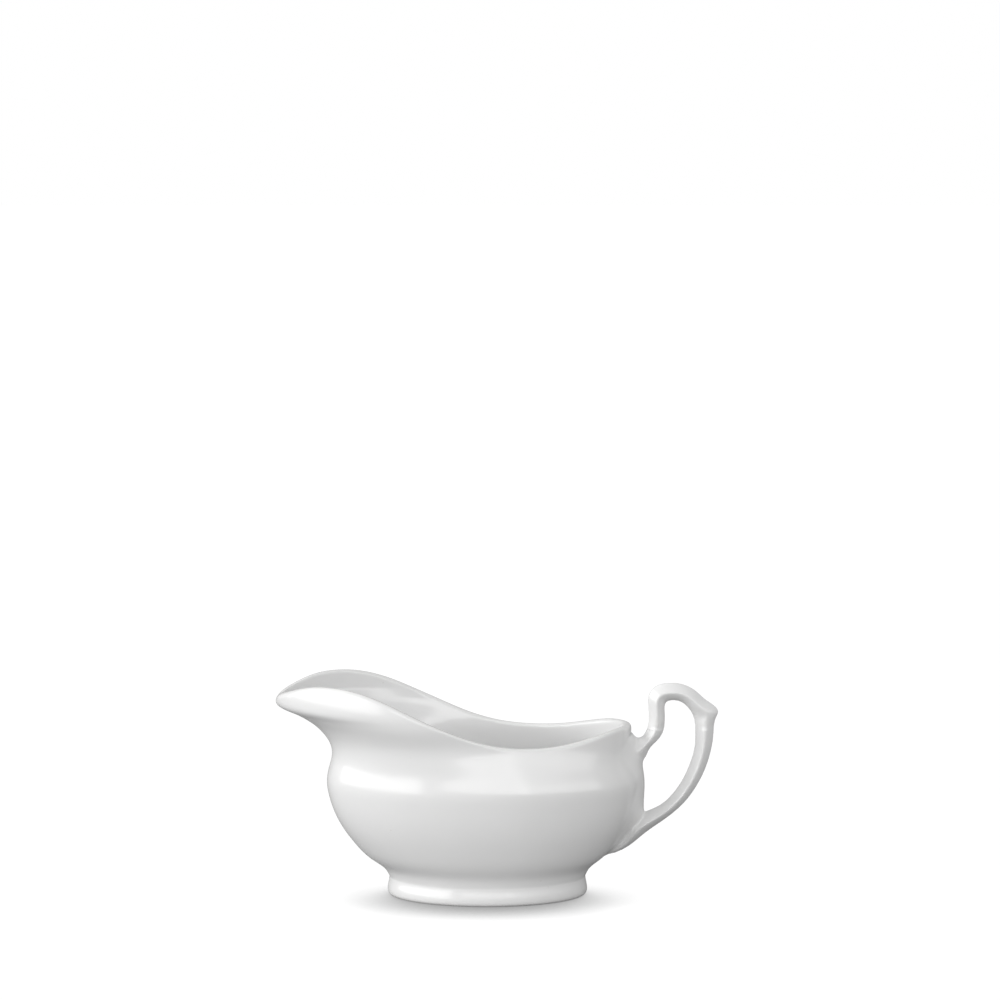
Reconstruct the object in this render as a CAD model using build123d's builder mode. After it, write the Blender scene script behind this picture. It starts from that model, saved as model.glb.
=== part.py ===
"""Gravy boat in glazed white hotel ware: a slip-cast bowl with a pouring spout, the oval foot
that it stands on and a scrolled loop handle, luted together before firing.

Row frame: +Z up, spout towards -X, handle towards +X. The origin is the centre of the foot's
resting face. All lengths are millimetres.
"""

from build123d import *

import math
import os

import numpy as np

# ---- driving dimensions ----------------------------------------------------------------------

# foot
foot_length = 90.8  # over the bottom edge
foot_width = 66.0
foot_height = 8.5  # up to the waist, where it meets the bowl
foot_waist_inset = 0.8  # the waist is this much inside the bottom edge
foot_wall = 5.0
foot_edge_radius = 2.2  # outer bottom edge
foot_heel_radius = 1.2  # inner bottom edge

# bowl
bulge_front = 72.7  # from the foot's centre to the bulge, under the spout
bulge_back = 69.0  # the same, under the handle
bulge_width = 92.0
bulge_height = 52.5
neck_height = 65.5
neck_inset_front = 2.4  # how far the neck lies inside the bulge
neck_inset_back = 4.6
neck_inset_side = 2.6
wall = 4.0
floor_thickness = 4.5
floor_corner_radius = 9.0  # inside, between the floor and the wall
rim_flat = 0.6  # left between the rim's two rounded edges

# mouth
spout_reach = 95.9  # from the foot's centre to the tip of the lip
spout_tip_height = 89.6
spout_crest_height = 98.5
spout_crest_reach = 71.0
mouth_half_width = 45.0  # the widest place of the flared mouth
mouth_wide_reach = 24.0  # how far towards the spout that place lies
mouth_back_reach = 64.9
rim_low_height = 72.4
rim_low_reach = 20.0  # behind the foot's centre
rim_back_height = 78.3

# handle
handle_depth = 35.3  # from the bulge to the point of the spur
handle_top_height = 96.5
handle_tail_height = 17.2  # where the tail runs out on the bowl
handle_thickness = 9.4
strap_depth = 2.2  # the strap between the two roots stands out this far from the bulge
strap_width = 8.4
strap_radius = 1.6

# ---- the bowl's surfaces ---------------------------------------------------------------------

waist_half_length = foot_length / 2 - foot_waist_inset
waist_half_width = foot_width / 2 - foot_waist_inset
floor_height = foot_height + floor_thickness
rim_radius = (wall - rim_flat) / 2
headroom = 4.0  # the lofts run this far past the rim, and are cut back to it
loft_top = spout_crest_height + headroom

profile_samples = 1500
spout_sharpness = 0.32  # 0 would leave the plan of the mouth an oval at the spout too

# From the waist to the bulge, as shares of the height and of the outward growth.
belly = [(0, 0), (0.07, 0.065), (0.19, 0.31), (0.36, 0.577), (0.53, 0.769), (0.7, 0.9), (0.86, 0.975), (1, 1)]
# From the neck to the tip of the spout, as shares of the height and of the reach.
spout_sweep = [(0.2, 0.05), (0.36, 0.155), (0.5, 0.29), (0.64, 0.49), (0.74, 0.68), (0.82, 0.87), (0.9, 0.97)]


def belly_to(waist_half, bulge_half):
    """Profile points (height, distance from the axis) from the waist up to the bulge."""
    rise = bulge_height - foot_height
    growth = bulge_half - waist_half
    return [(foot_height + rise * up, waist_half + growth * out) for up, out in belly]


def profile(points):
    """A smooth curve through (height, distance) points, as dense arrays of the two."""
    curve = Edge.make_spline([Vector(height, distance) for height, distance in points])
    samples = [curve.position_at(i / profile_samples) for i in range(profile_samples + 1)]
    return np.array([s.X for s in samples]), np.array([s.Y for s in samples])


bulge_side = bulge_width / 2
neck_front = bulge_front - neck_inset_front
neck_back = bulge_back - neck_inset_back
neck_side = bulge_side - neck_inset_side
spout_rise = spout_tip_height - neck_height
spout_run = spout_reach - neck_front
mouth_middle_height = (rim_low_height + spout_tip_height) / 2
shoulder_height = (bulge_height + neck_height) / 2

front_profile = profile(
    belly_to(waist_half_length, bulge_front)
    + [(shoulder_height, bulge_front - neck_inset_front * 0.5), (neck_height, neck_front)]
    + [(neck_height + spout_rise * up, neck_front + spout_run * out) for up, out in spout_sweep]
    + [(spout_tip_height, spout_reach), (spout_tip_height + 4, spout_reach), (loft_top, spout_reach - 1)]
)
back_profile = profile(
    belly_to(waist_half_length, bulge_back)
    + [(shoulder_height, bulge_back - neck_inset_back * 0.5), (neck_height, neck_back)]
    + [(height, mouth_back_reach) for height in (rim_low_height, rim_back_height, loft_top)]
)
side_profile = profile(
    belly_to(waist_half_width, bulge_side)
    + [(shoulder_height, bulge_side - neck_inset_side * 0.5), (neck_height, neck_side)]
    + [(rim_low_height, mouth_half_width - 2.4), (mouth_middle_height, mouth_half_width - 0.3)]
    + [(spout_tip_height, mouth_half_width - 0.3), (loft_top, mouth_half_width - 3)]
)


def distance_at(curve, height, inset):
    """How far the profile lies from the axis at a height, once it is moved inwards by inset."""
    heights, distances = curve
    if inset == 0:
        return float(np.interp(height, heights, distances))
    near = np.abs(heights - height) < inset
    return float(np.min(distances[near] - np.sqrt(inset**2 - (heights[near] - height) ** 2)))


def ramp(height, low, high):
    """0 below low, 1 above high and smooth between."""
    share = min(1.0, max(0.0, (height - low) / (high - low)))
    return share * share * (3 - 2 * share)


def plan_points(height, inset=0.0, count=32):
    """The bowl's plan outline at a height: round at the back, drawn to a point at the spout."""
    front = distance_at(front_profile, height, inset)
    back = distance_at(back_profile, height, inset)
    side = distance_at(side_profile, height, inset)
    widest = -mouth_wide_reach * ramp(height, bulge_height, spout_tip_height - 5)
    sharpness = 1 + spout_sharpness * ramp(height, neck_height, spout_tip_height)
    points = []
    for i in range(count):
        turn = 2 * math.pi * i / count
        along, across = math.cos(turn), math.sin(turn)
        if along >= 0:
            points.append((widest + (back - widest) * along, side * across))
        else:
            drawn_in = math.copysign(abs(across) ** sharpness, across)
            points.append((widest + (front + widest) * along, side * drawn_in))
    return points


def levels(bottom, top):
    """Heights for the loft's sections: closer together at the waist and where the spout runs out."""
    marks = [bottom]
    while marks[-1] < top:
        height = marks[-1]
        slack = 4.5 * ramp(height, bottom, bottom + 14) - 3.0 * ramp(height, neck_height - 6, neck_height + 4)
        marks.append(min(top, height + 2.5 + slack))
    return marks


with BuildPart() as bowl_outside:
    for level in levels(foot_height, loft_top):
        with BuildSketch(Plane.XY.offset(level)):
            with BuildLine():
                Spline(*plan_points(level), periodic=True)
            make_face()
    loft()

with BuildPart() as bowl_inside:
    for level in levels(floor_height, loft_top):
        with BuildSketch(Plane.XY.offset(level)):
            with BuildLine():
                Spline(*plan_points(level, wall), periodic=True)
            make_face()
    loft()
    fillet(bowl_inside.faces().sort_by(Axis.Z)[0].edges(), floor_corner_radius)

# ---- bowl ------------------------------------------------------------------------------------

crest_to_low = spout_crest_reach + rim_low_reach
rim_drop = spout_crest_height - rim_low_height
low_to_back = mouth_back_reach - rim_low_reach
# The rim from the crest down to its lowest point, and from there up to the back, as shares.
crest_fall = [(0, 0), (0.12, 0.035), (0.286, 0.21), (0.41, 0.405), (0.54, 0.61), (0.69, 0.82), (0.85, 0.96)]
back_rise = [(0, 0), (0.31, 0.14), (0.62, 0.6), (0.85, 0.95), (1.08, 1)]
rim_climb = rim_back_height - rim_low_height
rim_line = (
    [(-spout_reach - 2, spout_tip_height - 3), (-spout_reach + 0.2, spout_tip_height + 0.6)]
    + [(-spout_reach + 8, spout_tip_height + 5.1), (-spout_reach + 16, spout_crest_height - 1.0)]
    + [(crest_to_low * out - spout_crest_reach, spout_crest_height - rim_drop * down) for out, down in crest_fall]
    + [(rim_low_reach + low_to_back * out, rim_low_height + rim_climb * up) for out, up in back_rise]
)

with BuildPart() as bowl:
    add(bowl_outside.part)
    add(bowl_inside.part, mode=Mode.SUBTRACT)
    with BuildSketch(Plane.XZ) as above_rim:
        with BuildLine():
            Spline(*rim_line)
            Polyline(
                rim_line[-1],
                (rim_line[-1][0], loft_top + headroom),
                (rim_line[0][0], loft_top + headroom),
                rim_line[0],
            )
        make_face()
    extrude(amount=bulge_width, both=True, mode=Mode.SUBTRACT)
    rim_faces = bowl.faces().filter_by(GeomType.EXTRUSION)
    fillet([edge for edge in rim_faces.edges() if abs(edge.position_at(0.5).Y) > wall], rim_radius)

# ---- foot ------------------------------------------------------------------------------------


def foot_profile(height, waist_half):
    """Half-length or half-width of the foot at a height."""
    return waist_half + foot_waist_inset * (1 - ramp(height, foot_edge_radius, foot_height))


with BuildPart() as foot:
    for share in (0, 0.3, 0.5, 0.7, 0.85, 1):
        with BuildSketch(Plane.XY.offset(foot_height * share)):
            with BuildLine():
                Spline(*[
                    (
                        foot_profile(foot_height * share, waist_half_length) * math.cos(math.radians(turn)),
                        foot_profile(foot_height * share, waist_half_width) * math.sin(math.radians(turn)),
                    )
                    for turn in range(0, 360, 15)
                ], periodic=True)
            make_face()
    loft()
    with BuildSketch() as recess:
        Ellipse(foot_length / 2 - foot_wall, foot_width / 2 - foot_wall)
    extrude(amount=foot_height, mode=Mode.SUBTRACT)
    sole = foot.faces().sort_by(Axis.Z)[0]
    heel_edge, outer_edge = sole.edges().sort_by(SortBy.LENGTH)
    fillet(outer_edge, foot_edge_radius)
    fillet(heel_edge, foot_heel_radius)

# ---- handle ----------------------------------------------------------------------------------

# Stations along the handle, from the upper root to the tail: the inner and the outer line as
# hundredths of the handle's depth (out from the bulge) and of its height (up from the tail),
# and the thickness across as a share of handle_thickness.
stations = [
    ((-14, 48), (-30, 62), 1.5),  # inside the bowl's wall
    ((7, 57), (-7, 68.5), 1.4),  # upper root
    ((13, 62.5), (2, 69.2), 1.2),
    ((22.5, 67), (7.5, 72.5), 1.05),
    ((29.5, 72), (10.3, 76.5), 1),
    ((31.8, 78), (10.8, 81), 0.97),  # stem
    ((31.5, 83.6), (10, 88), 0.96),
    ((31.6, 87.2), (10.8, 93.6), 0.96),
    ((34, 89.2), (17.5, 97.8), 0.97),
    ((40.5, 90), (32, 100), 1),  # top
    ((49, 89.6), (52, 99.6), 1),
    ((56.5, 87.8), (69, 96.2), 1),
    ((63, 84.7), (83, 90.8), 1),
    ((67, 81.6), (95, 87), 0.94),
    ((68.6, 79.4), (100, 83.9), 0.86),  # the point of the spur
    ((69.8, 76.8), (97, 80), 0.9),
    ((70.4, 73.8), (94.8, 75.4), 0.96),
    ((70.5, 67), (93.6, 67.6), 1),
    ((68.4, 60), (90, 59), 1),  # outer leg
    ((62.4, 51.7), (83, 49.4), 1),
    ((53, 43), (71, 39), 1),
    ((39, 34.5), (55.5, 30), 1.03),
    ((24, 29), (35.5, 22.2), 1.15),
    ((7, 25.6), (15.5, 15.9), 1.4),  # lower root
    ((-12, 20), (1.5, 11), 1.5),
    ((-24, 12), (-10.5, 6.6), 1.25),
    ((-37, 5), (-25, 2.7), 0.9),
    ((-46, 1.5), (-38, 0.3), 0.6),  # the tail
]
spur_station = 14  # the two lofts of the handle meet at the point of the spur
strap_bottom_share = 0.2  # the strap's ends, hidden in the lower and the upper root
strap_top_share = 0.62
handle_rise = handle_top_height - handle_tail_height
section_fullness = 0.36  # 0 is a diamond, 0.55 an ellipse


def station_point(shares):
    """A station's point on the boat's middle plane."""
    out, up = shares[0] / 100, shares[1] / 100
    return Vector(bulge_back + handle_depth * out, 0, handle_tail_height + handle_rise * up)


def section_corners(half_depth, half_across):
    """The four rounded corners of a section, in turn, back to the first one."""
    return [(half_depth, 0), (0, half_across), (-half_depth, 0), (0, -half_across), (half_depth, 0)]


def square_off(corner, neighbour):
    """A corner's handle point, which keeps the outline square to the axis that it crosses."""
    return corner[0] + section_fullness * neighbour[0], corner[1] + section_fullness * neighbour[1]


with BuildPart() as handle:
    for stretch in (stations[: spur_station + 1], stations[spur_station:]):
        for inner, outer, share in stretch:
            inner_point = station_point(inner)
            outer_point = station_point(outer)
            across = outer_point - inner_point
            station_plane = Plane(
                origin=(inner_point + outer_point) / 2,
                x_dir=across,
                z_dir=across.cross(Vector(0, 1, 0)),
            )
            corners = section_corners(across.length / 2, handle_thickness * share / 2)
            with BuildSketch(station_plane):
                with BuildLine():
                    for corner, following in zip(corners, corners[1:]):
                        Bezier(corner, square_off(corner, following), square_off(following, corner), following)
                make_face()
        loft()
    with BuildSketch(Plane.XY.offset(handle_tail_height + handle_rise * strap_bottom_share)):
        with Locations((bulge_back + strap_depth, 0)):
            RectangleRounded(
                3 * (wall + strap_depth), strap_width, strap_radius, align=(Align.MAX, Align.CENTER)
            )
    extrude(amount=handle_rise * (strap_top_share - strap_bottom_share))
    add(bowl_outside.part, mode=Mode.SUBTRACT)

# ---- export ----------------------------------------------------------------------------------

bowl.part.label = "bowl"
foot.part.label = "foot"
handle.part.label = "handle"

os.makedirs("parts", exist_ok=True)
export_step(bowl.part, "parts/bowl.step")
export_step(foot.part, "parts/foot.step")
export_step(handle.part, "parts/handle.step")
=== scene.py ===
"""The looks of a white glazed gravy boat: its bowl, foot and handle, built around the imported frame."""

import math

import bmesh
import bpy
import numpy as np
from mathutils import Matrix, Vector
from mathutils.bvhtree import BVHTree


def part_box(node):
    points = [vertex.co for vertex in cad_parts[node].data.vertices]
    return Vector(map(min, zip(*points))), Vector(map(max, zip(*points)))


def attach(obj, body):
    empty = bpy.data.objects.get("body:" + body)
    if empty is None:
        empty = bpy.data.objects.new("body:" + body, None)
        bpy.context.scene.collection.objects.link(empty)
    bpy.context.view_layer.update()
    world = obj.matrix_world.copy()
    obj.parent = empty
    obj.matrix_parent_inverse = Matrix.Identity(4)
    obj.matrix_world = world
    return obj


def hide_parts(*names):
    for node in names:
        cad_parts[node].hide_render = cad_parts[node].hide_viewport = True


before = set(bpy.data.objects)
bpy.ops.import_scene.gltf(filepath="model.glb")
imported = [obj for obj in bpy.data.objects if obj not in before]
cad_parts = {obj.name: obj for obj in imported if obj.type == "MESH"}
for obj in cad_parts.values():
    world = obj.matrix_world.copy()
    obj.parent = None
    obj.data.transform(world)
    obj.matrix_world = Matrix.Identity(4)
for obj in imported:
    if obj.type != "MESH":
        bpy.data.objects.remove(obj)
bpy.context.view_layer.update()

# ---- sizes, in millimetres; meshes are turned into metres as they are made -------------------

MM = 0.001

bowl_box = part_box("bowl")

FOOT_LENGTH = 90.8
FOOT_WIDTH = 66.0
FOOT_HEIGHT = bowl_box[0].z / MM
FOOT_WAIST_INSET = 0.8
FOOT_WALL = 5.0
FOOT_EDGE_RADIUS = 2.4
FOOT_HEEL_RADIUS = 1.4
RECESS_COVE = 1.6  # where the foot's inner wall turns into the boat's underside
FOOT_GAP = 0.02  # between the top of the foot's inner wall and the bowl's underside

BULGE_FRONT = 72.7
BULGE_BACK = 69.0
BULGE_WIDTH = 91.95
BULGE_HEIGHT = 52.5
NECK_HEIGHT = 65.5
NECK_INSET_FRONT = 2.4
NECK_INSET_BACK = 4.6
NECK_INSET_SIDE = 2.6
WALL = 4.0
FLOOR_HEIGHT = FOOT_HEIGHT + 4.5
FLOOR_CORNER = 8.0

SPOUT_REACH = 95.9
SPOUT_TIP_HEIGHT = 89.6
SPOUT_CREST_HEIGHT = bowl_box[1].z / MM
SPOUT_CREST_REACH = 71.0
SPOUT_SHARPNESS = 0.32
SPOUT_TIP_ROUNDING = 0.2
MOUTH_HALF_WIDTH = 45.0
MOUTH_WIDE_REACH = 24.0
MOUTH_BACK_REACH = 64.9
MOUTH_FLARE_LOW = 2.4  # narrower than the mouth's half width, at the low of the rim
MOUTH_FLARE_HIGH = 0.3  # the same, higher up
MOUTH_FLARE_TOP = 3.0
RIM_LOW_HEIGHT = 72.4
RIM_LOW_REACH = 20.0
RIM_BACK_HEIGHT = 78.3
LOFT_TOP = SPOUT_CREST_HEIGHT + 4.0

HANDLE_DEPTH = 35.3
HANDLE_TOP = 96.5
HANDLE_TAIL = 17.2
HANDLE_THICKNESS = 9.4
SECTION_POWER = 1.25  # 1 is a diamond, 2 an ellipse
WEB_REACH = 17.0  # to either side of the middle the strap between the roots runs out to nothing
WEB_HEIGHTS = [14, 20, 28, 33, 36, 39, 42, 46, 52, 58, 62, 66, 70, 75]
WEB_DEPTHS = [0, 0.8, 2.4, 5.0, 5.6, 4.6, 3.6, 2.9, 2.2, 3.2, 5.0, 5.6, 3.0, 0]
VOXEL = 0.36  # of the clay model in which the handle's parts run together
CAP_STEP = 4.0  # longest edge across the handle's end inside the wall
BURIED = 1.5  # clay deeper in the body than this is thrown away first
SMOOTHING = [(100, 4), (6, 14), (4.5, 40), (3, 70), (1.8, 60)]  # (up to this far off the body, rounds)
GLAZE_WORN = 0.12  # smoothed off an edge, at which the glaze is thinnest
CREASE_FREE = 2.0  # off the body, above which an edge counts as worn
SKIRT = 0.08  # the fillet round the roots is cut off this far above the bowl
BLEND_TOP = 8 * SKIRT  # off the body, below which the handle is shaded with it
TUCK = 1.6 * SKIRT  # how far the cut edge is pushed under the bowl's surface
CAP_SHARE = 1 / 3  # of the wall, the depth of the handle's end

COLUMNS = 256  # round the boat
WALL_RINGS = 84
RIM_RINGS = 6  # from a wall to the top of the rim
FLOOR_RINGS = 10
CORNER_RINGS = 8
COVE_RINGS = 5
SOLE_RINGS = 3
EDGE_RINGS = 7
WAIST_RINGS = 11
SLICES = 420  # in which the walls are measured before the rim cuts them

# Outlines as shares of the rise and of the widening between two of the sizes above.
BELLY = [(0, 0), (0.07, 0.065), (0.19, 0.31), (0.36, 0.577)]
BELLY += [(0.53, 0.769), (0.7, 0.9), (0.86, 0.975), (1, 1)]
SPOUT_SWEEP = [(0.2, 0.05), (0.36, 0.155), (0.5, 0.29), (0.64, 0.49)]
SPOUT_SWEEP += [(0.74, 0.68), (0.82, 0.87), (0.9, 0.97)]
CREST_FALL = [(0, 0), (0.12, 0.035), (0.286, 0.21), (0.41, 0.405)]
CREST_FALL += [(0.54, 0.61), (0.69, 0.82), (0.85, 0.96)]
BACK_RISE = [(0, 0), (0.31, 0.14), (0.62, 0.6), (0.85, 0.95), (1.08, 1)]
TIP_RISE = [(-2, -3), (0.2, 0.6), (8, 5.1)]  # back from the tip of the spout, and up
CREST_EDGE = (16, -1)  # the same, with its height taken from the crest


# ---- curves ----------------------------------------------------------------------------------


def smooth_curve(points, count=900):
    """Points spread evenly along a natural cubic spline through the given ones."""
    p = np.array(points, float)
    length = np.concatenate([[0], np.cumsum(np.linalg.norm(np.diff(p, axis=0), axis=1))])
    step = np.diff(length)
    system = np.eye(len(p))
    bend = np.zeros_like(p)
    for i in range(1, len(p) - 1):
        system[i, i - 1 : i + 2] = step[i - 1], 2 * (step[i - 1] + step[i]), step[i]
        bend[i] = 6 * ((p[i + 1] - p[i]) / step[i] - (p[i] - p[i - 1]) / step[i - 1])
    second = np.linalg.solve(system, bend)
    at = np.linspace(0, length[-1], count)
    k = np.clip(np.searchsorted(length, at) - 1, 0, len(p) - 2)
    h = step[k][:, None]
    after = (at - length[k])[:, None]
    before = (length[k + 1] - at)[:, None]
    return (
        (second[k] * before**3 + second[k + 1] * after**3) / (6 * h)
        + (p[k] / h - second[k] * h / 6) * before
        + (p[k + 1] / h - second[k + 1] * h / 6) * after
    )


def ramp(value, low, high):
    """0 below low, 1 above high and smooth between."""
    share = np.clip((value - low) / (high - low), 0, 1)
    return share * share * (3 - 2 * share)


def along(points, shares):
    """The points at these shares of a polyline's length."""
    length = np.concatenate([[0], np.cumsum(np.linalg.norm(np.diff(points, axis=0), axis=1))])
    at = np.asarray(shares) * length[-1]
    return np.stack([np.interp(at, length, points[:, axis]) for axis in range(3)], 1)


def length_of(points):
    return float(np.sum(np.linalg.norm(np.diff(points, axis=0), axis=1)))


def rounded(start, corner, end, count):
    """count points from start towards end, bent round a corner; end itself is left out."""
    t = np.linspace(0, 1, count, endpoint=False)[:, None]
    return (1 - t) ** 2 * start + 2 * t * (1 - t) * corner + t**2 * end


# ---- the bowl's walls ------------------------------------------------------------------------

waist_half_length = FOOT_LENGTH / 2 - FOOT_WAIST_INSET
waist_half_width = FOOT_WIDTH / 2 - FOOT_WAIST_INSET
neck_front = BULGE_FRONT - NECK_INSET_FRONT
neck_back = BULGE_BACK - NECK_INSET_BACK
neck_side = BULGE_WIDTH / 2 - NECK_INSET_SIDE
shoulder_height = (BULGE_HEIGHT + NECK_HEIGHT) / 2


def belly_to(waist_half, bulge_half):
    """Profile points (height, distance from the axis) from the waist up to the bulge."""
    rise = BULGE_HEIGHT - FOOT_HEIGHT
    return [(FOOT_HEIGHT + rise * up, waist_half + (bulge_half - waist_half) * out) for up, out in BELLY]


front_profile = smooth_curve(
    belly_to(waist_half_length, BULGE_FRONT)
    + [(shoulder_height, BULGE_FRONT - NECK_INSET_FRONT / 2), (NECK_HEIGHT, neck_front)]
    + [
        (
            NECK_HEIGHT + (SPOUT_TIP_HEIGHT - NECK_HEIGHT) * up,
            neck_front + (SPOUT_REACH - neck_front) * out,
        )
        for up, out in SPOUT_SWEEP
    ]
    + [(SPOUT_TIP_HEIGHT, SPOUT_REACH), (SPOUT_TIP_HEIGHT + 4, SPOUT_REACH), (LOFT_TOP, SPOUT_REACH - 1)]
)
back_profile = smooth_curve(
    belly_to(waist_half_length, BULGE_BACK)
    + [(shoulder_height, BULGE_BACK - NECK_INSET_BACK / 2), (NECK_HEIGHT, neck_back)]
    + [(height, MOUTH_BACK_REACH) for height in (RIM_LOW_HEIGHT, RIM_BACK_HEIGHT, LOFT_TOP)]
)
side_profile = smooth_curve(
    belly_to(waist_half_width, BULGE_WIDTH / 2)
    + [(shoulder_height, BULGE_WIDTH / 2 - NECK_INSET_SIDE / 2), (NECK_HEIGHT, neck_side)]
    + [(RIM_LOW_HEIGHT, MOUTH_HALF_WIDTH - MOUTH_FLARE_LOW)]
    + [((RIM_LOW_HEIGHT + SPOUT_TIP_HEIGHT) / 2, MOUTH_HALF_WIDTH - MOUTH_FLARE_HIGH)]
    + [(SPOUT_TIP_HEIGHT, MOUTH_HALF_WIDTH - MOUTH_FLARE_HIGH)]
    + [(LOFT_TOP, MOUTH_HALF_WIDTH - MOUTH_FLARE_TOP)]
)


def distance_at(profile, height, inset):
    """How far a profile lies from the axis at a height, once it is moved inwards by inset."""
    if inset == 0:
        return float(np.interp(height, profile[:, 0], profile[:, 1]))
    near = profile[np.abs(profile[:, 0] - height) < inset]
    return float(np.min(near[:, 1] - np.sqrt(inset**2 - (near[:, 0] - height) ** 2)))


turns = np.arange(COLUMNS) * 2 * math.pi / COLUMNS
lengthwise, crosswise = np.cos(turns), np.sin(turns)


def plan_at(height, inset=0.0):
    """The bowl's plan outline at a height: round at the back, drawn to a point at the spout."""
    front = distance_at(front_profile, height, inset)
    back = distance_at(back_profile, height, inset)
    side = distance_at(side_profile, height, inset)
    widest = -MOUTH_WIDE_REACH * ramp(height, BULGE_HEIGHT, SPOUT_TIP_HEIGHT - 5)
    sharpness = SPOUT_SHARPNESS * ramp(height, NECK_HEIGHT, SPOUT_TIP_HEIGHT)
    soft = SPOUT_TIP_ROUNDING**2
    drawn_in = ((crosswise**2 + soft) / (1 + soft)) ** (sharpness / 2)
    reach = np.where(lengthwise >= 0, back - widest, front + widest)
    x = widest + reach * lengthwise
    y = side * crosswise * np.where(lengthwise >= 0, 1, drawn_in)
    return np.stack([x, y, np.full(COLUMNS, height)], 1)


crest_to_low = SPOUT_CREST_REACH + RIM_LOW_REACH
rim_drop = SPOUT_CREST_HEIGHT - RIM_LOW_HEIGHT
rim_line = smooth_curve(
    [(-SPOUT_REACH + back, SPOUT_TIP_HEIGHT + up) for back, up in TIP_RISE]
    + [(-SPOUT_REACH + CREST_EDGE[0], SPOUT_CREST_HEIGHT + CREST_EDGE[1])]
    + [
        (crest_to_low * out - SPOUT_CREST_REACH, SPOUT_CREST_HEIGHT - rim_drop * down)
        for out, down in CREST_FALL
    ]
    + [
        (
            RIM_LOW_REACH + (MOUTH_BACK_REACH - RIM_LOW_REACH) * out,
            RIM_LOW_HEIGHT + (RIM_BACK_HEIGHT - RIM_LOW_HEIGHT) * up,
        )
        for out, up in BACK_RISE
    ]
)


def wall_columns(bottom, inset):
    """For each column, the wall's points from bottom up to where the rim line cuts it."""
    heights = np.linspace(bottom, LOFT_TOP, SLICES)
    rings = np.array([plan_at(height, inset) for height in heights])
    columns = []
    for i in range(COLUMNS):
        column = rings[:, i]
        above = column[:, 2] - np.interp(column[:, 0], rim_line[:, 0], rim_line[:, 1])
        k = int(np.argmax(above > 0))
        share = above[k - 1] / (above[k - 1] - above[k])
        columns.append(np.vstack([column[:k], column[k - 1] + share * (column[k] - column[k - 1])]))
    return columns


def boat_column(outer, inner, turn):
    """One line over the whole surface: recess, foot, outer wall, rim, inner wall and floor."""
    flat = np.array([math.cos(turn), math.sin(turn)])

    def foot_point(length, width, height):
        return np.array([length * flat[0], width * flat[1], height])

    def outer_foot(height):
        grow = FOOT_WAIST_INSET * (1 - ramp(height, FOOT_EDGE_RADIUS, FOOT_HEIGHT))
        return foot_point(waist_half_length + grow, waist_half_width + grow, height)

    in_length, in_width = FOOT_LENGTH / 2 - FOOT_WALL, FOOT_WIDTH / 2 - FOOT_WALL
    edge_length, edge_width = FOOT_LENGTH / 2, FOOT_WIDTH / 2
    cove, heel, edge = RECESS_COVE, FOOT_HEEL_RADIUS, FOOT_EDGE_RADIUS
    under = FOOT_HEIGHT - FOOT_GAP
    foot = [
        rounded(
            foot_point(in_length - cove, in_width - cove, under),
            foot_point(in_length, in_width, under),
            foot_point(in_length, in_width, under - cove),
            COVE_RINGS,
        ),
        [
            foot_point(in_length, in_width, height)
            for height in np.linspace(under - cove, heel, COVE_RINGS, endpoint=False)
        ],
        rounded(
            foot_point(in_length, in_width, heel),
            foot_point(in_length, in_width, 0),
            foot_point(in_length + heel, in_width + heel, 0),
            COVE_RINGS,
        ),
        rounded(
            foot_point(in_length + heel, in_width + heel, 0),
            foot_point(
                (in_length + heel + edge_length - edge) / 2,
                (in_width + heel + edge_width - edge) / 2,
                0,
            ),
            foot_point(edge_length - edge, edge_width - edge, 0),
            SOLE_RINGS,
        ),
        rounded(
            foot_point(edge_length - edge, edge_width - edge, 0),
            foot_point(edge_length, edge_width, 0),
            outer_foot(edge),
            EDGE_RINGS,
        ),
        [outer_foot(height) for height in np.linspace(edge, FOOT_HEIGHT, WAIST_RINGS, endpoint=False)],
    ]
    half = np.linalg.norm(outer[-1] - inner[-1]) / 2
    top = (outer[-1] + inner[-1]) / 2
    outer_stop = 1 - half / length_of(outer)
    inner_stop = 1 - half / length_of(inner)
    corner = FLOOR_CORNER / length_of(inner)
    outer_wall = along(outer, np.linspace(0, outer_stop, WALL_RINGS, endpoint=False))
    inner_wall = along(inner, np.linspace(inner_stop, corner, WALL_RINGS, endpoint=False))
    floor_edge = inner[0] * (1 - FLOOR_CORNER / np.linalg.norm(inner[0][:2]))
    floor_edge[2] = inner[0][2]
    shares = np.linspace(1, 0, FLOOR_RINGS, endpoint=False)
    floor = [floor_edge * (share, share, 1) for share in shares]
    body = [
        outer_wall,
        rounded(along(outer, [outer_stop])[0], outer[-1], top, RIM_RINGS),
        rounded(top, inner[-1], along(inner, [inner_stop])[0], RIM_RINGS),
        inner_wall,
        rounded(along(inner, [corner])[0], inner[0], floor_edge, CORNER_RINGS),
        floor,
    ]
    return np.vstack(foot), np.vstack(body)


outer_columns = wall_columns(FOOT_HEIGHT, 0.0)
inner_columns = wall_columns(FLOOR_HEIGHT, WALL)
boat = [boat_column(outer, inner, turn) for outer, inner, turn in zip(outer_columns, inner_columns, turns)]
foot_grid = np.array([column[0] for column in boat])
bowl_grid = np.array([column[1] for column in boat])


def grid_normals(grid):
    """Outward normals of a grid of columns that goes once round the boat."""
    round_boat = np.roll(grid, -1, 0) - np.roll(grid, 1, 0)
    up_column = np.gradient(grid, axis=1)
    normals = np.cross(round_boat, up_column)
    return normals / np.maximum(np.linalg.norm(normals, axis=2, keepdims=True), 1e-12)


whole_normals = grid_normals(np.concatenate([foot_grid, bowl_grid], 1))
foot_normals, bowl_normals = np.split(whole_normals, [foot_grid.shape[1]], axis=1)


# ---- mesh making -----------------------------------------------------------------------------


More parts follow.
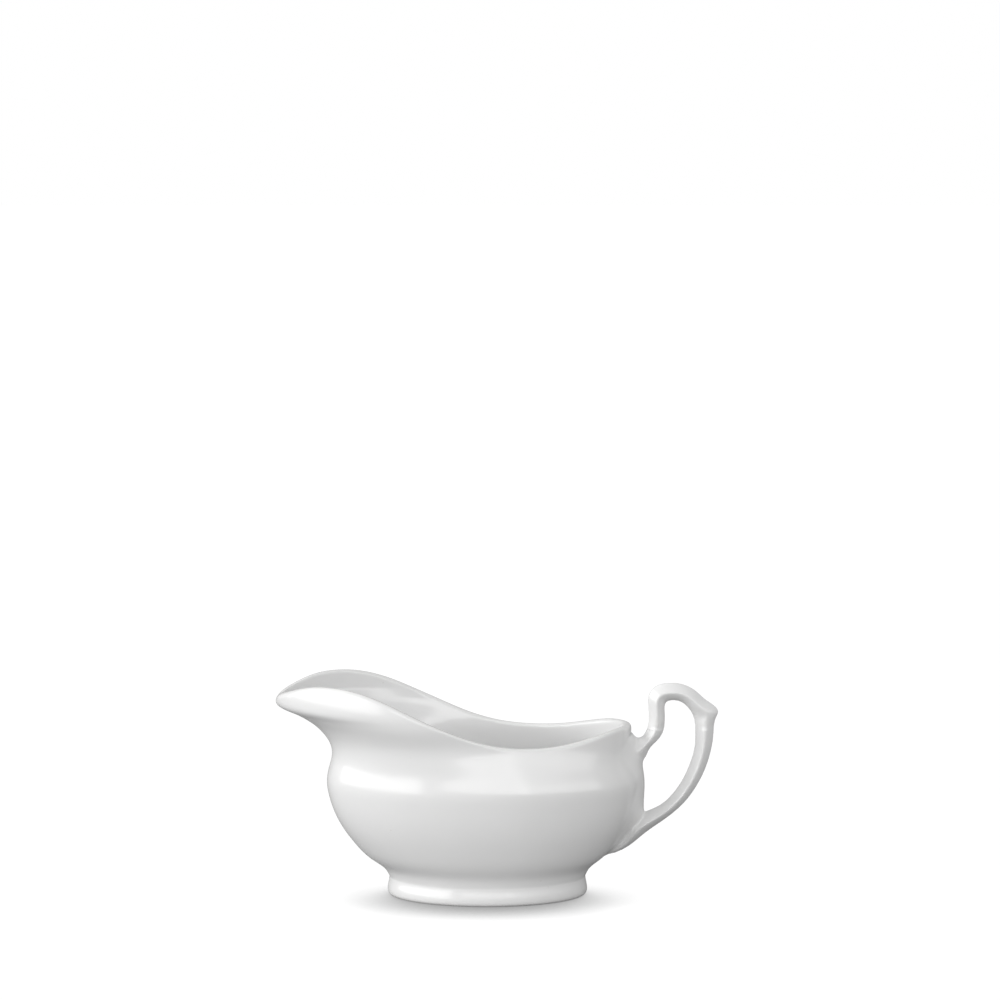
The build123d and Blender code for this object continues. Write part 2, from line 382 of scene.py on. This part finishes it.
def round_mesh(grid, normals, edge, close_start, close_end):
    """A grid of columns that goes once round the boat, as a bmesh with its seam and poles merged."""
    mesh = bmesh.new()
    normal_of = mesh.verts.layers.float_vector.new("surface_normal")
    edge_of = mesh.verts.layers.float.new("thin_glaze")
    columns, rings = grid.shape[:2]
    made = bmesh.ops.create_grid(mesh, x_segments=rings - 1, y_segments=columns, size=1)["verts"]
    first_ring, last_ring = [], []
    for vertex in made:
        ring = round((vertex.co.x + 1) / 2 * (rings - 1))
        column = round((vertex.co.y + 1) / 2 * columns)
        vertex.co = grid[column % columns, ring] * MM
        vertex[normal_of] = normals[column % columns, ring]
        vertex[edge_of] = edge[column % columns, ring]
        if ring == 0:
            first_ring.append(vertex)
        if ring == rings - 1:
            last_ring.append(vertex)
    for ring, closed in ((first_ring, close_start), (last_ring, close_end)):
        if closed:
            middle = sum((vertex.co for vertex in ring), Vector()) / len(ring)
            bmesh.ops.pointmerge(mesh, verts=ring, merge_co=middle)
    bmesh.ops.remove_doubles(mesh, verts=mesh.verts[:], dist=1e-7)
    bmesh.ops.recalc_face_normals(mesh, faces=mesh.faces)
    return mesh


def finish_piece(mesh, name, node, material):
    """Turns a bmesh into a smooth object that stands for a node of the frame."""
    data = bpy.data.meshes.new(name)
    mesh.to_mesh(data)
    mesh.free()
    data.shade_smooth()
    normals = np.zeros(len(data.vertices) * 3)
    data.attributes["surface_normal"].data.foreach_get("vector", normals)
    data.normals_split_custom_set_from_vertices(normals.reshape(-1, 3).tolist())
    data.attributes.remove(data.attributes["surface_normal"])
    piece = bpy.data.objects.new(name, data)
    bpy.context.collection.objects.link(piece)
    data.materials.append(material)
    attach(piece, "root")
    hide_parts(node)


# ---- finishes --------------------------------------------------------------------------------


def new_material(name):
    material = bpy.data.materials.new(name)
    material.use_nodes = True
    nodes = material.node_tree.nodes
    return material, nodes, material.node_tree.links, nodes["Principled BSDF"]


def glaze_group():
    """The glaze itself: cloudy tone, thin edges, tiny specks and a faint ripple in its surface."""
    group = bpy.data.node_groups.new("white_glaze_surface", "ShaderNodeTree")
    face = group.interface
    face.new_socket("Position", in_out="INPUT", socket_type="NodeSocketVector")
    face.new_socket("Thin Glaze", in_out="INPUT", socket_type="NodeSocketFloat")
    face.new_socket("White", in_out="INPUT", socket_type="NodeSocketColor")
    face.new_socket("Edge Tone", in_out="INPUT", socket_type="NodeSocketColor")
    face.new_socket("Speck Tone", in_out="INPUT", socket_type="NodeSocketColor")
    face.new_socket("Ripple", in_out="INPUT", socket_type="NodeSocketFloat")
    face.new_socket("Color", in_out="OUTPUT", socket_type="NodeSocketColor")
    face.new_socket("Roughness", in_out="OUTPUT", socket_type="NodeSocketFloat")
    face.new_socket("Normal", in_out="OUTPUT", socket_type="NodeSocketVector")
    nodes, links = group.nodes, group.links
    start = nodes.new("NodeGroupInput")
    end = nodes.new("NodeGroupOutput")

    def noise(scale, detail):
        node = nodes.new("ShaderNodeTexNoise")
        node.inputs["Scale"].default_value = scale
        node.inputs["Detail"].default_value = detail
        links.new(start.outputs["Position"], node.inputs["Vector"])
        return node.outputs["Fac"]

    def spread(value, low, high, to_low, to_high):
        node = nodes.new("ShaderNodeMapRange")
        node.inputs["From Min"].default_value = low
        node.inputs["From Max"].default_value = high
        node.inputs["To Min"].default_value = to_low
        node.inputs["To Max"].default_value = to_high
        links.new(value, node.inputs["Value"])
        return node.outputs["Result"]

    def mixed(factor, first, second):
        node = nodes.new("ShaderNodeMix")
        node.data_type = "RGBA"
        links.new(factor, node.inputs["Factor"])
        links.new(first, node.inputs["A"])
        links.new(second, node.inputs["B"])
        return node.outputs["Result"]

    def product(first, second):
        node = nodes.new("ShaderNodeMath")
        node.operation = "MULTIPLY"
        links.new(first, node.inputs[0])
        if isinstance(second, (int, float)):
            node.inputs[1].default_value = second
        else:
            links.new(second, node.inputs[1])
        return node.outputs["Value"]

    clouds = noise(34.0, 3.0)
    shade = nodes.new("ShaderNodeHueSaturation")
    links.new(start.outputs["White"], shade.inputs["Color"])
    links.new(spread(clouds, 0.3, 0.7, 0.985, 1.01), shade.inputs["Value"])
    edge = product(start.outputs["Thin Glaze"], spread(noise(160.0, 2.0), 0.3, 0.7, 0.6, 1.0))
    toned = mixed(edge, shade.outputs["Color"], start.outputs["Edge Tone"])

    cells = nodes.new("ShaderNodeTexVoronoi")
    cells.inputs["Scale"].default_value = 260.0
    links.new(start.outputs["Position"], cells.inputs["Vector"])
    speck = spread(cells.outputs["Distance"], 0.05, 0.11, 1.0, 0.0)
    rare = spread(noise(47.0, 1.0), 0.66, 0.7, 0.0, 0.55)
    specked = mixed(product(speck, rare), toned, start.outputs["Speck Tone"])
    links.new(specked, end.inputs["Color"])

    links.new(spread(noise(60.0, 4.0), 0.35, 0.7, 0.15, 0.2), end.inputs["Roughness"])

    slow, fine = noise(42.0, 1.0), noise(520.0, 2.0)
    heights = nodes.new("ShaderNodeMath")
    heights.operation = "MULTIPLY_ADD"
    links.new(fine, heights.inputs[0])
    heights.inputs[1].default_value = 0.05
    links.new(slow, heights.inputs[2])
    bump = nodes.new("ShaderNodeBump")
    bump.inputs["Strength"].default_value = 0.35
    links.new(product(start.outputs["Ripple"], 0.001), bump.inputs["Distance"])
    links.new(heights.outputs["Value"], bump.inputs["Height"])
    links.new(bump.outputs["Normal"], end.inputs["Normal"])
    return group


GLAZE = glaze_group()
WHITE = (0.77, 0.77, 0.768, 1)
EDGE_TONE = (0.76, 0.758, 0.75, 1)
SPECK_TONE = (0.6, 0.58, 0.55, 1)


def glazed(name, ripple):
    """Glossy white glaze over china."""
    material, nodes, links, surface = new_material(name)
    place = nodes.new("ShaderNodeTexCoord")
    edge = nodes.new("ShaderNodeAttribute")
    edge.attribute_name = "thin_glaze"
    glaze = nodes.new("ShaderNodeGroup")
    glaze.node_tree = GLAZE
    links.new(place.outputs["Object"], glaze.inputs["Position"])
    links.new(edge.outputs["Fac"], glaze.inputs["Thin Glaze"])
    glaze.inputs["White"].default_value = WHITE
    glaze.inputs["Edge Tone"].default_value = EDGE_TONE
    glaze.inputs["Speck Tone"].default_value = SPECK_TONE
    glaze.inputs["Ripple"].default_value = ripple
    links.new(glaze.outputs["Color"], surface.inputs["Base Color"])
    links.new(glaze.outputs["Roughness"], surface.inputs["Roughness"])
    links.new(glaze.outputs["Normal"], surface.inputs["Normal"])
    surface.inputs["IOR"].default_value = 1.6
    return material


bowl_glaze = glazed("bowl_glaze", 0.2)
foot_glaze = glazed("foot_glaze", 0.2)
handle_glaze = glazed("handle_glaze", 0.15)

# ---- the bowl and the foot -------------------------------------------------------------------

THIN_GLAZE_AT_RIM = 1.9  # how far the glaze stays thin
THIN_GLAZE_AT_FOOT = 1.2

down = np.array([0.0, 0.0, -1.0])
seam = bowl_grid[:, :1]
under_shares = np.concatenate([np.linspace(0, 0.8, 9), [0.86, 0.9, 0.94]])  # of the way out
underside = seam * np.stack([under_shares, under_shares, np.ones_like(under_shares)], 1)[None]
bowl_all = np.concatenate([underside, bowl_grid, bowl_grid[:, -1:] * (0, 0, 1)], 1)
bowl_all_normals = np.concatenate(
    [np.broadcast_to(down, underside.shape), bowl_normals, np.broadcast_to(-down, seam.shape)], 1
)
rim_top = underside.shape[1] + WALL_RINGS + RIM_RINGS
from_rim = np.linalg.norm(bowl_all - bowl_all[:, rim_top : rim_top + 1], axis=2)
bowl_edge = np.exp(-((from_rim / THIN_GLAZE_AT_RIM) ** 2))
bowl_mesh = round_mesh(bowl_all, bowl_all_normals, bowl_edge, close_start=True, close_end=True)
finish_piece(bowl_mesh, "bowl_body", "bowl", bowl_glaze)

foot_all = np.concatenate([foot_grid, seam, foot_grid[:, :1]], 1)
foot_all_normals = np.concatenate([foot_normals, bowl_normals[:, :1], foot_normals[:, :1]], 1)
foot_edge = np.exp(-((foot_all[:, :, 2] / THIN_GLAZE_AT_FOOT) ** 2))
foot_mesh = round_mesh(foot_all, foot_all_normals, foot_edge, close_start=False, close_end=False)
finish_piece(foot_mesh, "foot_ring", "foot", foot_glaze)

# ---- the handle ------------------------------------------------------------------------------

# Stations from the upper root to the tail: the inner and the outer line as hundredths of the
# handle's depth (out from the bulge) and height (up from the tail), and a share of the thickness.
STATIONS = [
    ((-14, 48), (-30, 62), 1.5),  # inside the bowl's wall
    ((7, 57), (-7, 68.5), 1.4),  # upper root
    ((13, 62.5), (2, 69.2), 1.2),
    ((22.5, 67), (7.5, 72.5), 1.05),
    ((29.5, 72), (10.3, 76.5), 1),
    ((31.8, 78), (10.8, 81), 0.97),  # stem
    ((31.5, 83.6), (10, 88), 0.96),
    ((31.6, 87.2), (10.8, 93.6), 0.96),
    ((34, 89.2), (17.5, 97.8), 0.97),
    ((40.5, 90), (32, 100), 1),  # top
    ((49, 89.6), (52, 99.6), 1),
    ((56.5, 87.8), (69, 96.2), 1),
    ((63, 84.7), (83, 90.8), 1),
    ((67, 81.6), (95, 87), 0.94),
    ((68.6, 79.4), (100, 83.9), 0.86),  # the point of the spur
    ((69.8, 76.8), (97, 80), 0.9),
    ((70.4, 73.8), (94.8, 75.4), 0.96),
    ((70.5, 67), (93.6, 67.6), 1),
    ((68.4, 60), (90, 59), 1),  # outer leg
    ((62.4, 51.7), (83, 49.4), 1),
    ((53, 43), (71, 39), 1),
    ((39, 34.5), (55.5, 30), 1.03),
    ((24, 29), (35.5, 22.2), 1.15),
    ((7, 25.6), (15.5, 15.9), 1.4),  # lower root
    ((-12, 20), (1.5, 11), 1.5),
    ((-24, 12), (-10.5, 6.6), 1.25),
    ((-37, 5), (-25, 2.7), 0.9),
    ((-46, 1.5), (-38, 0.3), 0.6),  # the tail
]


def loop_grid(around=48, rings=190):
    """The handle's loop as columns of points, from the upper root to the tail."""
    rise = HANDLE_TOP - HANDLE_TAIL
    stations = [
        (
            BULGE_BACK + HANDLE_DEPTH * inner[0] / 100,
            HANDLE_TAIL + rise * inner[1] / 100,
            BULGE_BACK + HANDLE_DEPTH * outer[0] / 100,
            HANDLE_TAIL + rise * outer[1] / 100,
            HANDLE_THICKNESS * share / 2,
        )
        for inner, outer, share in STATIONS
    ]
    inner_x, inner_z, outer_x, outer_z, across = smooth_curve(stations, rings).T
    columns = []
    for turn in np.arange(around) * 2 * math.pi / around:
        out, side = math.cos(turn), math.sin(turn)
        reach = (abs(out) ** SECTION_POWER + abs(side) ** SECTION_POWER) ** (-1 / SECTION_POWER)
        share = (1 + out * reach) / 2
        x = inner_x + (outer_x - inner_x) * share
        z = inner_z + (outer_z - inner_z) * share
        columns.append(np.stack([x, across * side * reach, z], 1))
    return np.array(columns)


def blank(grid):
    """Empty normals and edge values for a grid whose surface is worked over later."""
    return np.zeros_like(grid), np.zeros(grid.shape[:2])


def filled_body():
    """The bowl without its hollow, which the roots are pressed onto."""
    heights = np.linspace(FOOT_HEIGHT + 1, RIM_BACK_HEIGHT - 2.5, 150)
    grid = np.array([plan_at(height) for height in heights]).transpose(1, 0, 2)
    return round_mesh(grid, *blank(grid), close_start=True, close_end=True)


def back_of_body():
    """The handle's end of the filled body, with the strap between the roots raised on it."""
    mesh = filled_body()
    everything = mesh.verts[:] + mesh.edges[:] + mesh.faces[:]
    cut_at = Vector((waist_half_length * MM, 0, 0))
    bmesh.ops.bisect_plane(
        mesh, geom=everything, plane_co=cut_at, plane_no=(-1, 0, 0), clear_outer=True
    )
    bmesh.ops.holes_fill(mesh, edges=[edge for edge in mesh.edges if edge.is_boundary])
    mesh.normal_update()
    raised = {}
    for vertex in mesh.verts:
        across, height = abs(vertex.co.y) / MM, vertex.co.z / MM
        if across < WEB_REACH and vertex.co.x > cut_at.x + MM:
            bell = (1 + math.cos(math.pi * across / WEB_REACH)) / 2
            raised[vertex] = MM * bell * float(np.interp(height, WEB_HEIGHTS, WEB_DEPTHS))
    for vertex, step in raised.items():
        vertex.co.x += step
    return mesh


def run_together(meshes):
    """Closed meshes pressed into one skin of even small faces."""
    data = bpy.data.meshes.new("clay")
    joined = bmesh.new()
    for mesh in meshes:
        mesh.to_mesh(data)
        joined.from_mesh(data)
        mesh.free()
    joined.to_mesh(data)
    joined.free()
    clay = bpy.data.objects.new("clay", data)
    bpy.context.collection.objects.link(clay)
    remesh = clay.modifiers.new("skin", "REMESH")
    remesh.mode = "VOXEL"
    remesh.voxel_size = VOXEL * MM
    skin = bpy.data.meshes.new_from_object(clay.evaluated_get(bpy.context.evaluated_depsgraph_get()))
    bpy.data.objects.remove(clay)
    mesh = bmesh.new()
    mesh.from_mesh(skin)
    return mesh


def above_body(body, vertex):
    """How far a vertex stands above the filled body, in millimetres, and the body's normal there."""
    place, normal, _, _ = body.find_nearest(vertex.co)
    return (vertex.co - place).dot(normal) / MM, normal


def trim_edge(mesh):
    """Takes away loose edges and the points where the cut edge touches itself."""
    while True:
        loose = [edge for edge in mesh.edges if edge.is_wire]
        bmesh.ops.delete(mesh, geom=loose, context="EDGES")
        pinched = [
            vertex
            for vertex in mesh.verts
            if not vertex.link_faces or sum(edge.is_boundary for edge in vertex.link_edges) > 2
        ]
        if not loose and not pinched:
            return
        bmesh.ops.delete(mesh, geom=pinched, context="VERTS")


def handle_mesh():
    """The loop and its strap run together on the body, then cut free of it and closed."""
    filled = filled_body()
    body = BVHTree.FromBMesh(filled)
    filled.free()
    grid = loop_grid()
    loop = round_mesh(grid, *blank(grid), close_start=True, close_end=True)
    mesh = run_together([back_of_body(), loop])
    edge_of = mesh.verts.layers.float.new("thin_glaze")
    normal_of = mesh.verts.layers.float_vector.new("surface_normal")

    height = {vertex: above_body(body, vertex)[0] for vertex in mesh.verts}
    buried = [vertex for vertex in mesh.verts if height[vertex] < -BURIED]
    bmesh.ops.delete(mesh, geom=buried, context="VERTS")
    before = {vertex: vertex.co.copy() for vertex in mesh.verts}
    for reach, rounds in SMOOTHING:
        near = [vertex for vertex in mesh.verts if height[vertex] < reach]
        for _ in range(rounds):
            bmesh.ops.smooth_vert(
                mesh, verts=near, factor=0.5, use_axis_x=True, use_axis_y=True, use_axis_z=True
            )
    mesh.normal_update()
    for vertex in mesh.verts:
        worn = (before[vertex] - vertex.co).dot(vertex.normal) / MM
        vertex[edge_of] = min(1.0, max(0.0, worn / GLAZE_WORN)) if height[vertex] > CREASE_FREE else 0.0

    settled = {vertex: above_body(body, vertex) for vertex in mesh.verts}
    low = [vertex for vertex in mesh.verts if settled[vertex][0] < SKIRT]
    bmesh.ops.delete(mesh, geom=low, context="VERTS")
    trim_edge(mesh)
    top = max(mesh.verts, key=lambda vertex: vertex.co.x)
    joined, fresh = {top}, [top]
    while fresh:
        vertex = fresh.pop()
        for edge in vertex.link_edges:
            other = edge.other_vert(vertex)
            if other not in joined:
                joined.add(other)
                fresh.append(other)
    apart = [vertex for vertex in mesh.verts if vertex not in joined]
    bmesh.ops.delete(mesh, geom=apart, context="VERTS")

    for vertex in mesh.verts:
        rise, normal = settled[vertex]
        share = 1 - float(ramp(rise, SKIRT, BLEND_TOP))
        vertex[normal_of] = vertex.normal.lerp(normal, share).normalized()
        vertex.co -= normal * (TUCK * share * MM)

    def sink(geometry):
        """Lays new vertices under the body's surface, part of the wall deep."""
        for vertex in geometry:
            if isinstance(vertex, bmesh.types.BMVert):
                place, normal, _, _ = body.find_nearest(vertex.co)
                vertex.co = place - normal * (WALL * CAP_SHARE * MM)
                vertex[normal_of] = normal

    rim = [edge for edge in mesh.edges if edge.is_boundary]
    sink(bmesh.ops.extrude_edge_only(mesh, edges=rim)["geom"])
    bmesh.ops.holes_fill(mesh, edges=[edge for edge in mesh.edges if edge.is_boundary], sides=0)
    bmesh.ops.triangulate(mesh, faces=[face for face in mesh.faces if len(face.verts) > 4])
    for _ in range(4):
        spanning = [edge for edge in mesh.edges if edge.calc_length() > CAP_STEP * MM]
        sink(bmesh.ops.subdivide_edges(mesh, edges=spanning, cuts=1)["geom_inner"])
        bmesh.ops.triangulate(mesh, faces=[face for face in mesh.faces if len(face.verts) > 4])
    bmesh.ops.recalc_face_normals(mesh, faces=mesh.faces)
    return mesh


finish_piece(handle_mesh(), "loop_handle", "handle", handle_glaze)

# ---- the stage -------------------------------------------------------------------------------

CAMERA_DISTANCE = 1.5
CAMERA_HEIGHT = 0.316
AIM_HEIGHT = 0.045
LENS = 121.0
SENSOR = 36.0
SHIFT = (0.0126, 0.2954)

FLOOR_RADIUS = 60
UNDER_FOOT_OPENING = 0.027  # hidden under the foot, so that the recess has light from below
FLOOR_SEEN = 0.04
FLOOR_BOUNCE = 0.3
# The floor's painted contact shadow: how far it reaches and how dark it gets.
PAINTED_SHADOW_REACH = 0.036
PAINTED_SHADOW_DARKEST = 0.3
PAINTED_SHADOW_SPAN = (0.1, 0.8)  # openness to the light, from the darkest painted shadow to clear
WORLD_FILL = 0.5
PANEL_DISTANCE = 2.3


def floor_piece():
    """A wide pale table. To the camera it glows white, with a painted contact shadow round the foot, but
    it throws less light back up than it shows.
    """
    mesh = bmesh.new()
    for radius in (FLOOR_RADIUS, UNDER_FOOT_OPENING):
        bmesh.ops.create_circle(mesh, cap_ends=False, radius=radius, segments=64)
    bmesh.ops.bridge_loops(mesh, edges=mesh.edges[:])
    mesh.normal_update()
    bmesh.ops.reverse_faces(mesh, faces=[face for face in mesh.faces if face.normal.z < 0])
    data = bpy.data.meshes.new("studio_floor")
    mesh.to_mesh(data)
    mesh.free()
    piece = bpy.data.objects.new("studio_floor", data)
    bpy.context.collection.objects.link(piece)
    material = bpy.data.materials.new("pale_floor")
    material.use_nodes = True
    nodes, links = material.node_tree.nodes, material.node_tree.links
    nodes.clear()
    # Painted shadow: ambient occlusion darkens the floor's glow near the foot.
    contact = nodes.new("ShaderNodeAmbientOcclusion")
    contact.samples = 16
    contact.inputs["Distance"].default_value = PAINTED_SHADOW_REACH
    forward = nodes.new("ShaderNodeCombineXYZ")  # leans to the back, so the painted shadow falls in front
    forward.inputs["Y"].default_value = 0.7
    forward.inputs["Z"].default_value = 0.7
    links.new(forward.outputs["Vector"], contact.inputs["Normal"])
    shade = nodes.new("ShaderNodeMapRange")
    shade.interpolation_type = "SMOOTHSTEP"
    shade.inputs["From Min"].default_value = PAINTED_SHADOW_SPAN[0]
    shade.inputs["From Max"].default_value = PAINTED_SHADOW_SPAN[1]
    shade.inputs["To Min"].default_value = PAINTED_SHADOW_DARKEST
    shade.inputs["To Max"].default_value = 1.0
    links.new(contact.outputs["AO"], shade.inputs["Value"])
    # Painted glow: the floor shines white to the camera, dimmed where the painted shadow lies.
    painted_glow = nodes.new("ShaderNodeEmission")
    links.new(shade.outputs["Result"], painted_glow.inputs["Strength"])
    seen = nodes.new("ShaderNodeBsdfDiffuse")
    seen.inputs["Color"].default_value = (FLOOR_SEEN, FLOOR_SEEN, FLOOR_SEEN, 1)
    bright = nodes.new("ShaderNodeAddShader")
    links.new(seen.outputs["BSDF"], bright.inputs[0])
    links.new(painted_glow.outputs["Emission"], bright.inputs[1])
    dim = nodes.new("ShaderNodeBsdfDiffuse")
    dim.inputs["Color"].default_value = (FLOOR_BOUNCE, FLOOR_BOUNCE, FLOOR_BOUNCE, 1)
    ray = nodes.new("ShaderNodeLightPath")
    choice = nodes.new("ShaderNodeMixShader")
    links.new(ray.outputs["Is Camera Ray"], choice.inputs["Fac"])
    links.new(dim.outputs["BSDF"], choice.inputs[1])
    links.new(bright.outputs["Shader"], choice.inputs[2])
    clear = nodes.new("ShaderNodeBsdfTransparent")
    facing = nodes.new("ShaderNodeNewGeometry")
    one_sided = nodes.new("ShaderNodeMixShader")
    links.new(facing.outputs["Backfacing"], one_sided.inputs["Fac"])
    links.new(choice.outputs["Shader"], one_sided.inputs[1])
    links.new(clear.outputs["BSDF"], one_sided.inputs[2])
    end = nodes.new("ShaderNodeOutputMaterial")
    links.new(one_sided.outputs["Shader"], end.inputs["Surface"])
    data.materials.append(material)


def softbox(name, place, aim, size, power):
    light = bpy.data.lights.new(name, "AREA")
    light.shape = "RECTANGLE"
    light.size, light.size_y = size
    light.energy = power
    lamp = bpy.data.objects.new(name, light)
    lamp.location = place
    lamp.rotation_euler = (Vector(aim) - Vector(place)).to_track_quat("-Z", "Y").to_euler()
    bpy.context.collection.objects.link(lamp)


def studio_world():
    """White behind the table, and a dim even fill for everything else."""
    world = bpy.data.worlds.new("studio")
    world.use_nodes = True
    nodes, links = world.node_tree.nodes, world.node_tree.links
    fill = nodes["Background"]
    fill.inputs["Color"].default_value = (1, 1, 1, 1)
    fill.inputs["Strength"].default_value = WORLD_FILL
    white = nodes.new("ShaderNodeBackground")
    white.inputs["Color"].default_value = (1, 1, 1, 1)
    ray = nodes.new("ShaderNodeLightPath")
    choice = nodes.new("ShaderNodeMixShader")
    links.new(ray.outputs["Is Camera Ray"], choice.inputs["Fac"])
    links.new(fill.outputs["Background"], choice.inputs[1])
    links.new(white.outputs["Background"], choice.inputs[2])
    links.new(choice.outputs["Shader"], nodes["World Output"].inputs["Surface"])
    bpy.context.scene.world = world


def panel(name, turn, height, size, power):
    """A softbox in the wall of light round the front, turned from straight ahead to the left."""
    angle = math.radians(turn)
    place = (-PANEL_DISTANCE * math.sin(angle), -PANEL_DISTANCE * math.cos(angle), height)
    softbox(name, place, (0, 0, height), size, power)


floor_piece()
studio_world()
panel("left_softbox", 70, 1.0, (3.6, 1.95), 66)
panel("front_left_softbox", 0, 0.84, (1.8, 1.0), 12)
panel("front_right_softbox", -46, 0.84, (2.5, 1.0), 13)
softbox("top_softbox", (-0.5, 0.5, 1.6), (0, 0, 0.05), (1.0, 0.8), 2)
bpy.context.scene.view_settings.view_transform = "Standard"

lens = bpy.data.cameras.new("camera")
lens.lens = LENS
lens.sensor_width = SENSOR
lens.shift_x, lens.shift_y = SHIFT
camera = bpy.data.objects.new("camera", lens)
camera.location = (0, -CAMERA_DISTANCE, CAMERA_HEIGHT)
view = Vector((0, 0, AIM_HEIGHT)) - camera.location
camera.rotation_euler = view.to_track_quat("-Z", "Y").to_euler()
bpy.context.collection.objects.link(camera)
bpy.context.scene.camera = camera
